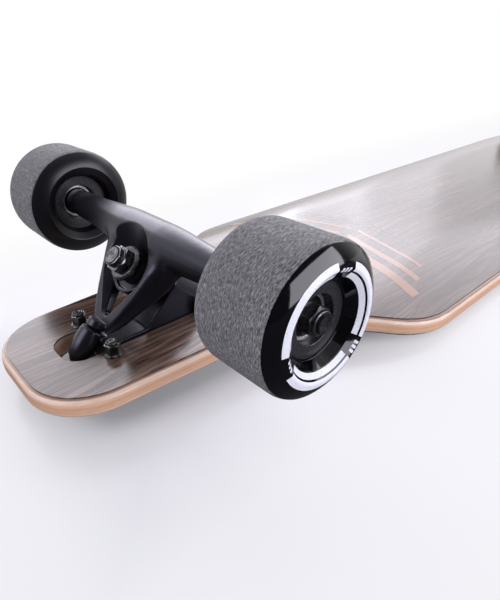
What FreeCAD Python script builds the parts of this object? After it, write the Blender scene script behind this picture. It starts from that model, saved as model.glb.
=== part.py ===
"""Drop-through longboard skateboard, modelled as it lies in the photograph: upside down, wheels up.

X runs along the board with the photographed nose at -X, the axles run along Y and Z is up from the
floor.  The origin is on the floor below the middle of the board.  Lengths are millimetres.
"""
import FreeCAD
import Part
import Sketcher
import math
import os
from types import SimpleNamespace

Vector = FreeCAD.Vector
Placement = FreeCAD.Placement
Rotation = FreeCAD.Rotation

SIZES = {
    # Deck planform
    "deck_length": 1040.0,
    "deck_width": 236.0,
    "nose_overhang": 90.0,
    "nose_width": 97.0,
    "neck_width": 115.0,
    "nose_radius": 36.0,
    "neck_radius": 60.0,
    "shoulder_radius": 70.0,
    "neck_from_axle": 50.0,
    "shoulder_from_axle": 125.0,
    # Deck section
    "core_thickness": 10.4,
    "veneer_thickness": 0.8,
    "grip_thickness": 0.8,
    "flat_width": 116.0,
    "concave_drop": 12.0,
    "edge_round": 3.0,
    # Slot through the deck
    "slot_width": 31.2,
    "slot_radius": 12.0,
    "slot_outer_reach": 66.0,
    "slot_inner_reach": 42.0,
    # Bolt pattern
    "pattern_length": 63.5,
    "pattern_width": 41.3,
    "pattern_offset": 11.4,
    "bolt_diameter": 5.0,
    "bolt_hole_clearance": 0.3,
    "bolt_head_diameter": 9.5,
    "bolt_head_height": 3.0,
    "bolt_stick_out": 0.8,
    "nut_flats": 8.0,
    "nut_height": 5.6,
    "nut_collar_diameter": 7.0,
    "nut_collar_height": 1.7,
    "nut_flange_diameter": 10.6,
    "nut_flange_height": 1.2,
    # Baseplate
    "flange_length": 86.0,
    "flange_width": 57.0,
    "flange_thickness": 6.0,
    "flange_radius": 9.0,
    "slot_clearance": 1.0,
    "grip_clearance": 2.0,
    "web_outer_reach": 44.0,
    "web_height": 1.8,
    "boss_width": 30.0,
    "boss_foot": 30.0,
    "boss_depth": 40.0,
    "boss_back_reach": 32.0,
    "housing_radius": 7.3,
    "housing_length": 17.0,
    "housing_centre": 47.0,
    "housing_mouth": 41.6,
    # Steering geometry
    "axle_height": 50.0,
    "pivot_angle": 45.0,
    "kingpin_to_axle": 20.0,
    # Kingpin stack, heights measured along the kingpin from the pivot axis
    "kingpin_diameter": 9.5,
    "kingpin_clearance": 0.05,
    "kingpin_head_flats": 14.3,
    "kingpin_head_height": 6.0,
    "kingpin_head_drop": 37.0,
    "kingpin_end": 15.8,
    "kingpin_nut_flats": 14.3,
    "kingpin_nut_height": 5.0,
    "kingpin_collar_diameter": 12.0,
    "kingpin_collar_height": 3.4,
    "washer_thickness": 1.6,
    "washer_diameter": 21.6,
    "washer_cup": 1.2,
    "boardside_washer_diameter": 26.0,
    "seat_top": -2.5,
    "seat_thickness": 4.5,
    "roadside_bushing_height": 7.9,
    "roadside_bushing_diameter": 19.0,
    "boardside_bushing_height": 13.0,
    "boardside_bushing_diameter": 24.0,
    "bushing_bore_clearance": 0.3,
    "bushing_waist": 1.2,
    # Hanger
    "hanger_length": 190.0,
    "beam_end_diameter": 17.0,
    "beam_shoulder_diameter": 19.0,
    "beam_shoulder_span": 130.0,
    "beam_middle_diameter": 25.0,
    "beam_middle_span": 50.0,
    "pivot_end_reach": 39.0,
    "pivot_end_width": 13.0,
    "lower_arm_reach": 26.0,
    "lower_arm_width": 30.0,
    "upper_arm_reach": 12.0,
    "upper_arm_width": 43.0,
    "kingpin_station_width": 53.0,
    "arch_foot_reach": 7.0,
    "arch_foot_width": 60.0,
    "arch_crown_reach": 13.0,
    "arch_crown_width": 73.0,
    "beam_joint_width": 104.0,
    "frame_front": 6.0,
    "frame_front_tilt": 11.3,
    "frame_back": 10.5,
    "frame_back_tilt": 8.5,
    "frame_flare": 3.0,
    "frame_round_share": 0.3,
    "opening_head_reach": 3.6,
    "opening_head_radius": 13.2,
    "opening_tip_reach": 30.5,
    "opening_tip_radius": 3.4,
    "opening_draft": 40.0,
    "seat_radius": 15.6,
    "seat_rim_width": 2.2,
    "seat_rim_height": 2.0,
    "seat_bore_diameter": 17.5,
    "bushing_room": 1.2,
    "pivot_collar_diameter": 11.6,
    "pivot_collar_start": 36.0,
    "pivot_collar_end": 40.6,
    "pivot_pin_diameter": 9.0,
    "pivot_tip_diameter": 6.5,
    "pivot_pin_end": 51.0,
    "pivot_clearance": 0.1,
    "cup_wall": 1.2,
    "cup_floor": 1.6,
    # Axle and bearings
    "axle_diameter": 7.9,
    "axle_clearance": 0.02,
    "axle_stick_out": 1.4,
    "speed_washer_thickness": 1.2,
    "speed_washer_diameter": 12.0,
    "axle_nut_flats": 12.7,
    "axle_nut_height": 5.2,
    "axle_collar_diameter": 11.4,
    "axle_collar_height": 1.8,
    "bearing_bore": 8.0,
    "bearing_diameter": 22.0,
    "bearing_width": 7.0,
    "inner_ring_diameter": 12.0,
    "outer_ring_bore": 18.6,
    "shield_thickness": 0.6,
    "shield_recess": 0.4,
    "shield_clearance": 0.25,
    "spacer_length": 10.0,
    "spacer_diameter": 10.4,
    # Wheel
    "wheel_diameter": 70.4,
    "wheel_width": 50.0,
    "tread_width": 32.0,
    "tread_round": 9.0,
    "edge_width": 40.0,
    "face_swell_radius": 23.0,
    "face_rim_diameter": 50.0,
    "face_cone_diameter": 41.0,
    "face_cone_depth": 3.2,
    "step_diameter": 36.4,
    "step_depth": 8.2,
    "hub_diameter": 34.6,
    "hub_face_depth": 8.6,
    "hub_mouth_diameter": 23.0,
    "hub_rib_diameter": 19.4,
    # One overrun for every cut
    "overrun": 5.0,
}
# A size that follows from others
FORMULAS = {"wheelbase": "deck_length - 2 * nose_overhang"}


class Size:
    """A size known both as a number and as a formula on the sheet's cells."""

    def __init__(self, number, formula):
        self.number = number
        self.formula = formula

    def joined(self, sign, other, number):
        return Size(number, "(%s %s %s)" % (self.formula, sign, other.formula))

    def __add__(self, other):
        other = as_size(other)
        return self.joined("+", other, self.number + other.number)

    def __sub__(self, other):
        other = as_size(other)
        return self.joined("-", other, self.number - other.number)

    def __mul__(self, other):
        other = as_size(other)
        return self.joined("*", other, self.number * other.number)

    def __truediv__(self, other):
        other = as_size(other)
        return self.joined("/", other, self.number / other.number)

    def __neg__(self):
        return Size(-self.number, "(-1 * %s)" % self.formula)


def as_size(value):
    """Numbers join in sums as they are."""
    return value if isinstance(value, Size) else Size(float(value), repr(float(value)))


def trig(name, angle):
    """The sine, cosine or tangent of an angle in degrees."""
    number = getattr(math, name)(math.radians(angle.number))
    return Size(number, "%s(%s * 1 deg)" % (name, angle.formula))


def root(area):
    return Size(math.sqrt(area.number), "sqrt(%s)" % area.formula)


ZERO = as_size(0)

doc = FreeCAD.newDocument("longboard")
sheet = doc.addObject("Spreadsheet::Sheet", "Sheet")
cells = {alias: str(number) for alias, number in SIZES.items()}
cells.update({alias: "=" + formula for alias, formula in FORMULAS.items()})
for row, (alias, content) in enumerate(cells.items(), start=1):
    sheet.set("A%d" % row, alias)
    sheet.set("B%d" % row, content)
    sheet.setAlias("B%d" % row, alias)
doc.recompute()
size = SimpleNamespace(**{alias: Size(float(sheet.get(alias)), "Sheet." + alias) for alias in cells})

NODES = []
NEAR = size.overrun.number / 50


def bind(thing, path, value):
    thing.setExpression(path, as_size(value).formula)


def keep(thing, label, placement):
    """Marks a document object as one of the part's pieces."""
    thing.Label = label
    thing.Placement = placement
    NODES.append(thing)
    return thing


# Sketches and features


def add_edge(sketch, start, end):
    """Draws a line, or an arc if the start corner has a radius and a turn; returns its end positions."""
    a = Vector(start[0].number, start[1].number, 0)
    b = Vector(end[0].number, end[1].number, 0)
    if len(start) == 2:
        sketch.addGeometry(Part.LineSegment(a, b), False)
        return 1, 2
    radius, turn = start[2], start[3]
    chord = b - a
    square = Vector(-chord.y, chord.x, 0).normalize()
    reach = math.sqrt(max(radius.number**2 - (chord.Length / 2) ** 2, 0))
    centre = (a + b) / 2 + square * (reach * turn)
    first, last = (a, b) if turn > 0 else (b, a)
    begin = math.atan2(first.y - centre.y, first.x - centre.x)
    finish = math.atan2(last.y - centre.y, last.x - centre.x)
    if finish < begin:
        finish += 2 * math.pi
    circle = Part.Circle(centre, Vector(0, 0, 1), radius.number)
    sketch.addGeometry(Part.ArcOfCircle(circle, begin, finish), False)
    return (1, 2) if turn > 0 else (2, 1)


def closed_sketch(body, plane, corners, offset=ZERO):
    """A closed outline whose corners are tied to the sheet; a corner is (x, y) or (x, y, radius, turn).

    With a radius the edge that leaves the corner is an arc, turning left for 1 and right for -1.
    """
    sketch = body.newObject("Sketcher::SketchObject", "Sketch")
    support = next(f for f in body.Origin.OriginFeatures if f.Role == plane)
    sketch.AttachmentSupport = [(support, "")]
    sketch.MapMode = "FlatFace"
    bind(sketch, ".AttachmentOffset.Base.z", offset)
    count = len(corners)
    ends = [add_edge(sketch, corners[i], corners[(i + 1) % count]) for i in range(count)]
    for i, corner in enumerate(corners):
        following = (i + 1) % count
        joint = Sketcher.Constraint("Coincident", i, ends[i][1], following, ends[following][0])
        sketch.addConstraint(joint)
        for kind, axis, value in (("DistanceX", -2, corner[0]), ("DistanceY", -1, corner[1])):
            if value is ZERO:
                sketch.addConstraint(Sketcher.Constraint("PointOnObject", i, ends[i][0], axis))
                continue
            tie = Sketcher.Constraint(kind, -1, 1, i, ends[i][0], value.number)
            bind(sketch, "Constraints[%d]" % sketch.addConstraint(tie), value)
        if len(corner) == 4:
            tie = Sketcher.Constraint("Radius", i, corner[2].number)
            bind(sketch, "Constraints[%d]" % sketch.addConstraint(tie), corner[2])
    return sketch


def new_body(placement=None):
    body = doc.addObject("PartDesign::Body", "Body")
    if placement is not None:
        body.Placement = placement
    return body


def padded(plane, corners, length, start=ZERO, both_sides=False, draft=None, placement=None):
    """A body padded from one outline."""
    body = new_body(placement)
    pad = body.newObject("PartDesign::Pad", "Pad")
    pad.Profile = closed_sketch(body, plane, corners, start)
    bind(pad, "Length", length)
    pad.SideType = "Symmetric" if both_sides else "One side"
    if draft is not None:
        bind(pad, "TaperAngle", draft)
    body.Tip = pad
    return body


def turned(profile, placement=None):
    """A body turned about its own Z from (radius, height) corners."""
    body = new_body(placement)
    sketch = closed_sketch(body, "XZ_Plane", profile)
    spin = body.newObject("PartDesign::Revolution", "Revolution")
    spin.Profile = sketch
    spin.ReferenceAxis = (sketch, ["V_Axis"])
    spin.Angle = 360
    body.Tip = spin
    return body


def ring(inner, outer, bottom, top, placement=None):
    corners = [(inner, bottom), (outer, bottom), (outer, top), (inner, top)]
    return turned(corners, placement)


def rounded(body, places, radius):
    """Rounds the upright edges of a padded body that stand at the given plan places."""
    doc.recompute()
    base = body.Tip
    names = []
    for number, edge in enumerate(base.Shape.Edges, start=1):
        ends = [vertex.Point for vertex in edge.Vertexes]
        if len(ends) != 2 or abs(ends[0].z - ends[1].z) < NEAR:
            continue
        for x, y in places:
            if all(math.hypot(p.x - x.number, p.y - y.number) < NEAR for p in ends):
                names.append("Edge%d" % number)
    fillet = body.newObject("PartDesign::Fillet", "Fillet")
    fillet.Base = (base, names)
    bind(fillet, "Radius", radius)
    body.Tip = fillet
    return body


def hexagon(flats, height, placement=None):
    """A hexagonal prism by its width across flats."""
    prism = doc.addObject("Part::Prism", "Hexagon")
    prism.Polygon = 6
    bind(prism, "Circumradius", flats / root(as_size(3)))
    bind(prism, "Height", height)
    if placement is not None:
        prism.Placement = placement
    return prism


def fused(*pieces):
    whole = doc.addObject("Part::MultiFuse", "Fuse")
    whole.Shapes = list(pieces)
    whole.Refine = True
    return whole


def common(first, second):
    both = doc.addObject("Part::Common", "Common")
    both.Base = first
    both.Tool = second
    return both


def cut(base, *tools):
    left = doc.addObject("Part::Cut", "Cut")
    left.Base = base
    left.Tool = tools[0] if len(tools) == 1 else fused(*tools)
    return left


def softened(thing, radius, wanted):
    """Rounds every edge of a solid that passes the test."""
    doc.recompute()
    numbers = [n for n, edge in enumerate(thing.Shape.Edges, start=1) if wanted(edge)]
    fillet = doc.addObject("Part::Fillet", "Fillet")
    fillet.Base = thing
    fillet.Edges = [(n, radius.number, radius.number) for n in numbers]
    return fillet


def mirrored(thing, normal, base=Vector()):
    twin = doc.addObject("Part::Mirroring", "Mirror")
    twin.Source = thing
    twin.Normal = normal
    twin.Base = base
    return twin


def grouped(*pieces):
    group = doc.addObject("Part::Compound", "Group")
    group.Links = list(pieces)
    return group


def raised(height):
    """A placement straight up the local Z."""
    return Placement(Vector(0, 0, height.number), Rotation())


def block(low, high):
    """A box between two corners."""
    box = doc.addObject("Part::Box", "Box")
    for path, axis in (("Length", 0), ("Width", 1), ("Height", 2)):
        bind(box, path, high[axis] - low[axis])
        bind(box, ".Placement.Base." + "xyz"[axis], low[axis])
    return box


# Places shared by the pieces

half_length = size.deck_length / 2
half_width = size.deck_width / 2
half_flat = size.flat_width / 2
wing = half_width - half_flat
concave_radius = (wing * wing + size.concave_drop * size.concave_drop) / (size.concave_drop * 2)
deck_thickness = size.core_thickness + size.veneer_thickness + size.grip_thickness
seat_depth = size.core_thickness + size.veneer_thickness
grip_radius = concave_radius - deck_thickness
grip_wing = wing - size.edge_round
grip_drop = grip_radius - root(grip_radius * grip_radius - grip_wing * grip_wing)
face_height = deck_thickness + grip_drop

DECK_PLACE = Placement(Vector(0, 0, face_height.number), Rotation())
axle_x = size.wheelbase / 2
TRUCKS = {
    "front": Placement(Vector(-axle_x.number, 0, face_height.number), Rotation()),
    "rear": Placement(Vector(axle_x.number, 0, face_height.number), Rotation(Vector(0, 0, 1), 180)),
}

# The kingpin frame has X up the pivot axis towards the axle and Z out along the kingpin
kingpin_x = -(size.kingpin_to_axle * trig("cos", size.pivot_angle))
kingpin_z = size.axle_height - size.kingpin_to_axle * trig("sin", size.pivot_angle)
KINGPIN = Placement(
    Vector(kingpin_x.number, 0, kingpin_z.number),
    Rotation(Vector(0, 1, 0), -size.pivot_angle.number),
)
# Pieces turned about the pivot axis have their Z down it, away from the axle
PIVOT = Placement(Vector(), Rotation(Vector(0, 1, 0), -90))
# Pieces turned about the axle have their Z along +Y
AXLE = Placement(Vector(size.kingpin_to_axle.number, 0, 0), Rotation(Vector(1, 0, 0), -90))

pattern_half = size.pattern_length / 2
bolt_x = -(size.pattern_offset + pattern_half)
bolt_y = size.pattern_width / 2
PATTERN_MIDDLE = Vector(-size.pattern_offset.number, 0, 0)
hole_radius = (size.bolt_diameter + size.bolt_hole_clearance) / 2

boss_half = size.boss_width / 2
seat_bottom = size.seat_top - size.seat_thickness
boss_top = seat_bottom - size.boardside_bushing_height - size.washer_thickness
roadside_top = size.seat_top + size.roadside_bushing_height
nut_bottom = roadside_top + size.washer_thickness

hanger_end = size.hanger_length / 2
bearing_start = hanger_end + size.speed_washer_thickness
wheel_middle = bearing_start + size.bearing_width + size.spacer_length / 2
bearing_end = wheel_middle + size.spacer_length / 2 + size.bearing_width
nut_start = bearing_end + size.speed_washer_thickness
axle_end = nut_start + size.axle_nut_height + size.axle_collar_height + size.axle_stick_out


# Deck


def deck_outline(inset):
    """The board's planform as an upright prism, drawn in by an inset."""
    rise = size.deck_width / 2 - size.neck_width / 2
    run = size.shoulder_from_axle - size.neck_from_axle
    slope = root(rise * rise + run * run)
    shift = inset * (slope - run) / rise
    nose = (half_length - inset, size.nose_width / 2 - inset)
    neck = (axle_x - size.neck_from_axle - shift, size.neck_width / 2 - inset)
    shoulder = (axle_x - size.shoulder_from_axle - shift, half_width - inset)
    quarter = [nose, neck, shoulder]
    corners = list(quarter)
    corners += [(-x, y) for x, y in reversed(quarter)]
    corners += [(-x, -y) for x, y in quarter]
    corners += [(x, -y) for x, y in reversed(quarter)]
    depth = (deck_thickness + size.concave_drop + size.overrun) * 2
    prism = padded("XY_Plane", corners, depth, both_sides=True)
    for place, radius in (
        (nose, size.nose_radius - inset),
        (neck, size.neck_radius + inset),
        (shoulder, size.shoulder_radius - inset),
    ):
        rounded(prism, [c for c in corners if same_place(c, place)], radius)
    return prism


def same_place(corner, place):
    """True for the four mirror images of one corner."""
    pairs = zip(corner, place)
    return all(math.isclose(abs(a.number), abs(b.number)) for a, b in pairs)


def pressed_layer(depth, thickness):
    """One layer of the pressed deck: flat in the middle, with wings that curve down to the rails."""
    upper = concave_radius - depth
    lower = upper - thickness
    share = (wing + size.overrun) / lower
    centre = -concave_radius

    def on_arc(radius, side):
        return half_flat * side + radius * share * side, centre + radius * root(as_size(1) - share * share)

    right_top = on_arc(upper, 1)
    right_low = on_arc(lower, 1)
    left_top = on_arc(upper, -1)
    left_low = on_arc(lower, -1)
    corners = [
        (-half_flat, -depth),
        (half_flat, -depth, upper, -1),
        right_top,
        (*right_low, lower, 1),
        (half_flat, -(depth + thickness)),
        (-half_flat, -(depth + thickness), lower, 1),
        left_low,
        (*left_top, upper, -1),
    ]
    return padded("YZ_Plane", corners, size.deck_length + size.overrun * 2, both_sides=True)


def slot_outline():
    """The drop-through slot below a truck, as an upright prism in the truck's frame."""
    half = size.slot_width / 2
    corners = [
        (-size.slot_outer_reach, -half),
        (size.slot_inner_reach, -half),
        (size.slot_inner_reach, half),
        (-size.slot_outer_reach, half),
    ]
    depth = (deck_thickness + size.overrun) * 2
    return rounded(padded("XY_Plane", corners, depth, both_sides=True), corners, size.slot_radius)


def bolt_holes():
    """Four upright rods at the bolt places."""
    depth = (deck_thickness + size.flange_thickness + size.overrun) * 2
    place = Placement(Vector(bolt_x.number, bolt_y.number, -depth.number / 2), Rotation())
    rod = doc.addObject("Part::Cylinder", "Rod")
    bind(rod, "Radius", hole_radius)
    bind(rod, "Height", depth)
    rod.Placement = place
    pair = grouped(rod, mirrored(rod, Vector(0, 1, 0)))
    return grouped(pair, mirrored(pair, Vector(1, 0, 0), PATTERN_MIDDLE))


def flange_corners(margin):
    half = size.flange_width / 2 + margin
    reach = size.flange_length / 2 + margin
    middle = -size.pattern_offset
    return [
        (middle - reach, -half),
        (middle + reach, -half),
        (middle + reach, half),
        (middle - reach, half),
    ]


def grip_window():
    """The window in the grip tape round a baseplate's flange."""
    corners = flange_corners(size.grip_clearance)
    depth = (deck_thickness + size.overrun) * 2
    radius = size.flange_radius + size.grip_clearance
    return rounded(padded("XY_Plane", corners, depth, both_sides=True), corners, radius)


def at_both_trucks(make_tool):
    """A cutting tool set at the front and at the rear truck, in the deck's frame."""
    tools = []
    for place in TRUCKS.values():
        tool = make_tool()
        tool.Placement = Placement(Vector(place.Base.x, 0, 0), place.Rotation)
        tools.append(tool)
    return tools


def on_the_rim(edge):
    """True for an edge of the outline: neither upright nor a seam between the flat and a wing."""
    box = edge.BoundBox
    upright = max(box.XLength, box.YLength) < NEAR
    seam = box.YLength < NEAR and abs(abs(box.Center.y) - half_flat.number) < NEAR
    return not upright and not seam


def build_deck():
    slots = at_both_trucks(slot_outline)
    holes = at_both_trucks(bolt_holes)
    outer = deck_outline(ZERO)
    inner = deck_outline(size.edge_round)
    plies = pressed_layer(size.veneer_thickness, size.core_thickness)
    core = softened(common(plies, outer), size.edge_round, on_the_rim)
    veneer = common(pressed_layer(ZERO, size.veneer_thickness), inner)
    grip = common(pressed_layer(seat_depth, size.grip_thickness), inner)
    keep(cut(core, *slots, *holes), "deck_core", DECK_PLACE)
    keep(cut(veneer, *slots, *holes), "bottom_veneer", DECK_PLACE)
    keep(cut(grip, *slots, *at_both_trucks(grip_window)), "grip_tape", DECK_PLACE)


# Truck pieces that stay with the deck


def boss_prism():
    """The wedge that carries the kingpin, square to it and round at its top end."""
    corners = [
        (-size.boss_foot, -boss_half),
        (ZERO, -boss_half, boss_half, 1),
        (boss_half, ZERO, boss_half, 1),
        (ZERO, boss_half),
        (-size.boss_foot, boss_half),
    ]
    prism = padded("XY_Plane", corners, size.boss_depth, boss_top - size.boss_depth)
    prism.Placement = KINGPIN
    return prism


def build_baseplate(prefix, place):
    flange_bottom = -(seat_depth + size.flange_thickness)
    flange = padded("XY_Plane", flange_corners(ZERO), size.flange_thickness, flange_bottom)
    rounded(flange, flange_corners(ZERO), size.flange_radius)
    half = size.slot_width / 2 - size.slot_clearance
    web_back = size.boss_back_reach
    down_pivot = KINGPIN.multiply(PIVOT)
    web = block((-size.web_outer_reach, -half, -seat_depth), (web_back, half, size.web_height))
    room = block((-size.web_outer_reach, -half, -seat_depth), (web_back, half, size.axle_height))
    boss = common(boss_prism(), room)
    egg = doc.addObject("Part::Ellipsoid", "Egg")
    bind(egg, "Radius1", size.housing_length)
    bind(egg, "Radius2", size.housing_radius)
    bind(egg, "Radius3", size.housing_radius)
    egg.Placement = down_pivot.multiply(raised(size.housing_centre))
    mouth = ring(ZERO, size.housing_length * 2, -size.axle_height, size.housing_mouth, down_pivot)
    housing = cut(egg, mouth)
    body = fused(flange, web, boss, housing)
    kingpin_hole = ring(
        ZERO,
        size.kingpin_diameter / 2 + size.kingpin_clearance,
        -size.kingpin_head_drop - size.overrun,
        ZERO,
        KINGPIN,
    )
    head_room = ring(
        ZERO,
        size.kingpin_head_flats / root(as_size(3)) + size.kingpin_clearance,
        -(size.kingpin_head_drop + size.boss_depth),
        -size.kingpin_head_drop,
        KINGPIN,
    )
    cup_radius = size.pivot_pin_diameter / 2 + size.pivot_clearance + size.cup_wall
    cup_depth = size.pivot_pin_end + size.pivot_clearance + size.cup_floor
    cup_hole = ring(ZERO, cup_radius, size.housing_mouth - size.overrun, cup_depth, down_pivot)
    plate = cut(body, bolt_holes(), kingpin_hole, head_room, cup_hole)
    keep(plate, prefix + "baseplate", place)


def build_pivot_cup(prefix, place):
    bore = size.pivot_pin_diameter / 2 + size.pivot_clearance
    tip = size.pivot_tip_diameter / 2 + size.pivot_clearance
    outer = bore + size.cup_wall
    depth = size.pivot_pin_end + size.pivot_clearance
    profile = [
        (bore, size.housing_mouth),
        (outer, size.housing_mouth),
        (outer, depth + size.cup_floor),
        (ZERO, depth + size.cup_floor),
        (ZERO, depth),
        (tip, depth),
    ]
    keep(turned(profile), prefix + "pivot_cup", place.multiply(KINGPIN).multiply(PIVOT))


def build_kingpin(prefix, place):
    """Hexagon-headed kingpin with its lock nut, cupped washers and bushings."""
    seat = place.multiply(KINGPIN)
    radius = size.kingpin_diameter / 2
    shank = ring(ZERO, radius, -size.kingpin_head_drop, size.kingpin_end)
    low = -(size.kingpin_head_drop + size.kingpin_head_height)
    head = hexagon(size.kingpin_head_flats, size.kingpin_head_height, raised(low))
    keep(fused(shank, head), prefix + "kingpin", seat)
    bore = radius + size.kingpin_clearance
    collar_bottom = nut_bottom + size.kingpin_nut_height
    collar_top = collar_bottom + size.kingpin_collar_height
    nut = fused(
        hexagon(size.kingpin_nut_flats, size.kingpin_nut_height, raised(nut_bottom)),
        ring(ZERO, size.kingpin_collar_diameter / 2, collar_bottom, collar_top),
    )
    thread = ring(ZERO, bore, nut_bottom - size.overrun, collar_bottom + size.overrun)
    keep(cut(nut, thread), prefix + "kingpin_nut", seat)
    build_washer(prefix + "roadside_washer", bore, size.washer_diameter / 2, roadside_top, -1, seat)
    build_washer(
        prefix + "boardside_washer",
        bore,
        size.boardside_washer_diameter / 2,
        seat_bottom - size.boardside_bushing_height,
        1,
        seat,
    )
    bushing_bore = radius + size.bushing_bore_clearance
    build_bushing(
        prefix + "roadside_bushing",
        bushing_bore,
        size.roadside_bushing_diameter / 2,
        size.seat_top,
        size.seat_top + size.roadside_bushing_height,
        seat,
    )
    build_bushing(
        prefix + "boardside_bushing",
        bushing_bore,
        size.boardside_bushing_diameter / 2,
        seat_bottom - size.boardside_bushing_height,
        seat_bottom,
        seat,
    )


def build_washer(label, bore, radius, face, side, seat):
    """A cupped washer: a flat plate on the bushing's end with a lip that hugs its rim."""
    back = face - size.washer_thickness * side
    lip = face + size.washer_cup * side
    inner = radius - size.washer_thickness / 2
    plate = [(bore, back), (inner, back), (radius, face)]
    cup = [(radius, lip), (inner, lip), (inner, face), (bore, face)]
    keep(turned(plate + cup), label, seat)


def build_bushing(label, bore, radius, bottom, top, seat):
    """A urethane bushing with a drawn-in waist."""
    waist = radius - size.bushing_waist
    middle = (bottom + top) / 2
    profile = [(bore, bottom), (radius, bottom), (waist, middle), (radius, top), (bore, top)]
    keep(turned(profile), label, seat)


def four_times(single):
    """A set of four at the bolt places."""
    pair = grouped(single, mirrored(single, Vector(0, 1, 0)))
    return grouped(pair, mirrored(pair, Vector(1, 0, 0), PATTERN_MIDDLE))


def build_fasteners(prefix, place):
    shank = size.bolt_diameter / 2
    head = size.bolt_head_diameter / 2
    under = -(seat_depth + size.flange_thickness)
    top = size.nut_flange_height + size.nut_height + size.nut_collar_height + size.bolt_stick_out
    low = under - size.bolt_head_height
    bevel = size.bolt_head_height / 2
    corner = Placement(Vector(bolt_x.number, bolt_y.number, 0), Rotation())
    pan = [(ZERO, low), (head - bevel, low), (head, under - bevel), (head, under)]
    bolt = turned(pan + [(shank, under), (shank, top), (ZERO, top)], corner)
    keep(four_times(bolt), prefix + "mounting_bolts", place)
    flats_bottom = size.nut_flange_height
    collar_bottom = flats_bottom + size.nut_height
    prism = hexagon(size.nut_flats, size.nut_height, raised(flats_bottom))
    flange = ring(ZERO, size.nut_flange_diameter / 2, ZERO, size.nut_flange_height)
    collar_top = collar_bottom + size.nut_collar_height
    collar = ring(ZERO, size.nut_collar_diameter / 2, collar_bottom, collar_top)
    thread = ring(ZERO, shank + size.kingpin_clearance, -size.overrun, collar_bottom + size.overrun)
    nut = cut(fused(flange, prism, collar), thread)
    nut.Placement = corner
    keep(four_times(nut), prefix + "mounting_nuts", place)


# Truck pieces that steer


def frame_section(body, reach, width):
    """One cross-section of the hanger's frame, a block with round edges that is widest at the back."""
    top = size.frame_front + reach * trig("tan", size.frame_front_tilt)
    away = -reach if reach.number < 0 else reach
    bottom = away * trig("tan", size.frame_back_tilt) - size.frame_back
    radius = (top - bottom) * size.frame_round_share
    side = width / 2
    back = side + size.frame_flare
    corners = [
        (radius - back, bottom),
        (back - radius, bottom, radius, 1),
        (back, bottom + radius),
        (side, top - radius, radius, 1),
        (side - radius, top),
        (radius - side, top, radius, 1),
        (-side, top - radius),
        (-back, bottom + radius, radius, 1),
    ]
    return closed_sketch(body, "YZ_Plane", corners, reach)


def build_frame():
    """The two arms as one smooth casting that swells from the pivot and arches out into the axle beam."""
    body = new_body()
    sections = [
        frame_section(body, -size.pivot_end_reach, size.pivot_end_width),
        frame_section(body, -size.lower_arm_reach, size.lower_arm_width),
        frame_section(body, -size.upper_arm_reach, size.upper_arm_width),
        frame_section(body, ZERO, size.kingpin_station_width),
        frame_section(body, size.arch_foot_reach, size.arch_foot_width),
        frame_section(body, size.arch_crown_reach, size.arch_crown_width),
        frame_section(body, size.kingpin_to_axle, size.beam_joint_width),
    ]
    loft = body.newObject("PartDesign::AdditiveLoft", "Loft")
    loft.Profile = sections[0]
    loft.Sections = sections[1:]
    body.Tip = loft
    return body


def opening_outline(depth, start, draft=None):
    """The opening between the arms: a drop whose round head lies at the kingpin and whose tip points at the pivot."""
    big = size.opening_head_radius
    small = size.opening_tip_radius
    head = -size.opening_head_reach
    tip = -(size.opening_tip_reach - small)
    # The flanks touch the circles of the head and of the tip
    along = (big - small) / (head - tip)
    across = root(as_size(1) - along * along)
    flank_tip = (tip - small * along, small * across)
    flank_head = (head - big * along, big * across)
    top = (head + big, ZERO)
    corners = [
        (*top, big, 1),
        flank_head,
        (*flank_tip, small, 1),
        (-size.opening_tip_reach, ZERO, small, 1),
        (flank_tip[0], -flank_tip[1]),
        (flank_head[0], -flank_head[1], big, 1),
    ]
    return padded("XY_Plane", corners, depth, start, draft=draft)


def build_hanger(prefix, place):
    seat = place.multiply(KINGPIN)
    end = size.beam_end_diameter / 2
    shoulder = size.beam_shoulder_diameter / 2
    middle = size.beam_middle_diameter / 2
    beam = turned(
        [
            (ZERO, -hanger_end),
            (end, -hanger_end),
            (shoulder, -size.beam_shoulder_span / 2),
            (middle, -size.beam_middle_span / 2),
            (middle, size.beam_middle_span / 2),
            (shoulder, size.beam_shoulder_span / 2),
            (end, hanger_end),
            (ZERO, hanger_end),
        ],
        AXLE,
    )
    collar = size.pivot_collar_diameter / 2
    pin = size.pivot_pin_diameter / 2
    tip = size.pivot_tip_diameter / 2
    pivot = turned(
        [
            (ZERO, size.pivot_collar_start),
            (collar, size.pivot_collar_start),
            (collar, size.pivot_collar_end),
            (pin, size.pivot_collar_end),
            (pin, size.housing_mouth),
            (tip, size.pivot_pin_end),
            (ZERO, size.pivot_pin_end),
        ],
        PIVOT,
    )
    below = -(middle + size.overrun)
    depth = (middle + size.overrun) * 2
    hollow = opening_outline(depth, below)
    flare = opening_outline(depth, size.seat_top, size.opening_draft)
    room = ring(ZERO, size.boardside_bushing_diameter / 2 + size.bushing_room, below, seat_bottom)
    open_frame = cut(fused(build_frame(), beam), hollow, flare, room)
    rim_top = size.seat_top + size.seat_rim_height
    rim_bore = size.seat_radius - size.seat_rim_width
    bore = size.seat_bore_diameter / 2
    washer_seat = turned(
        [
            (bore, seat_bottom),
            (size.seat_radius, seat_bottom),
            (size.seat_radius, rim_top),
            (rim_bore, rim_top),
            (rim_bore, size.seat_top),
            (bore, size.seat_top),
        ]
    )
    whole = fused(open_frame, washer_seat, pivot)
    axle_hole = ring(
        ZERO,
        size.axle_diameter / 2 + size.axle_clearance,
        -(hanger_end + size.overrun),
        hanger_end + size.overrun,
        AXLE,
    )
    keep(cut(whole, axle_hole), prefix + "hanger", seat)


def both_ends(single):
    """A piece and its mirror image at the other end of the axle."""
    return grouped(single, mirrored(single, Vector(0, 1, 0)))


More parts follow.
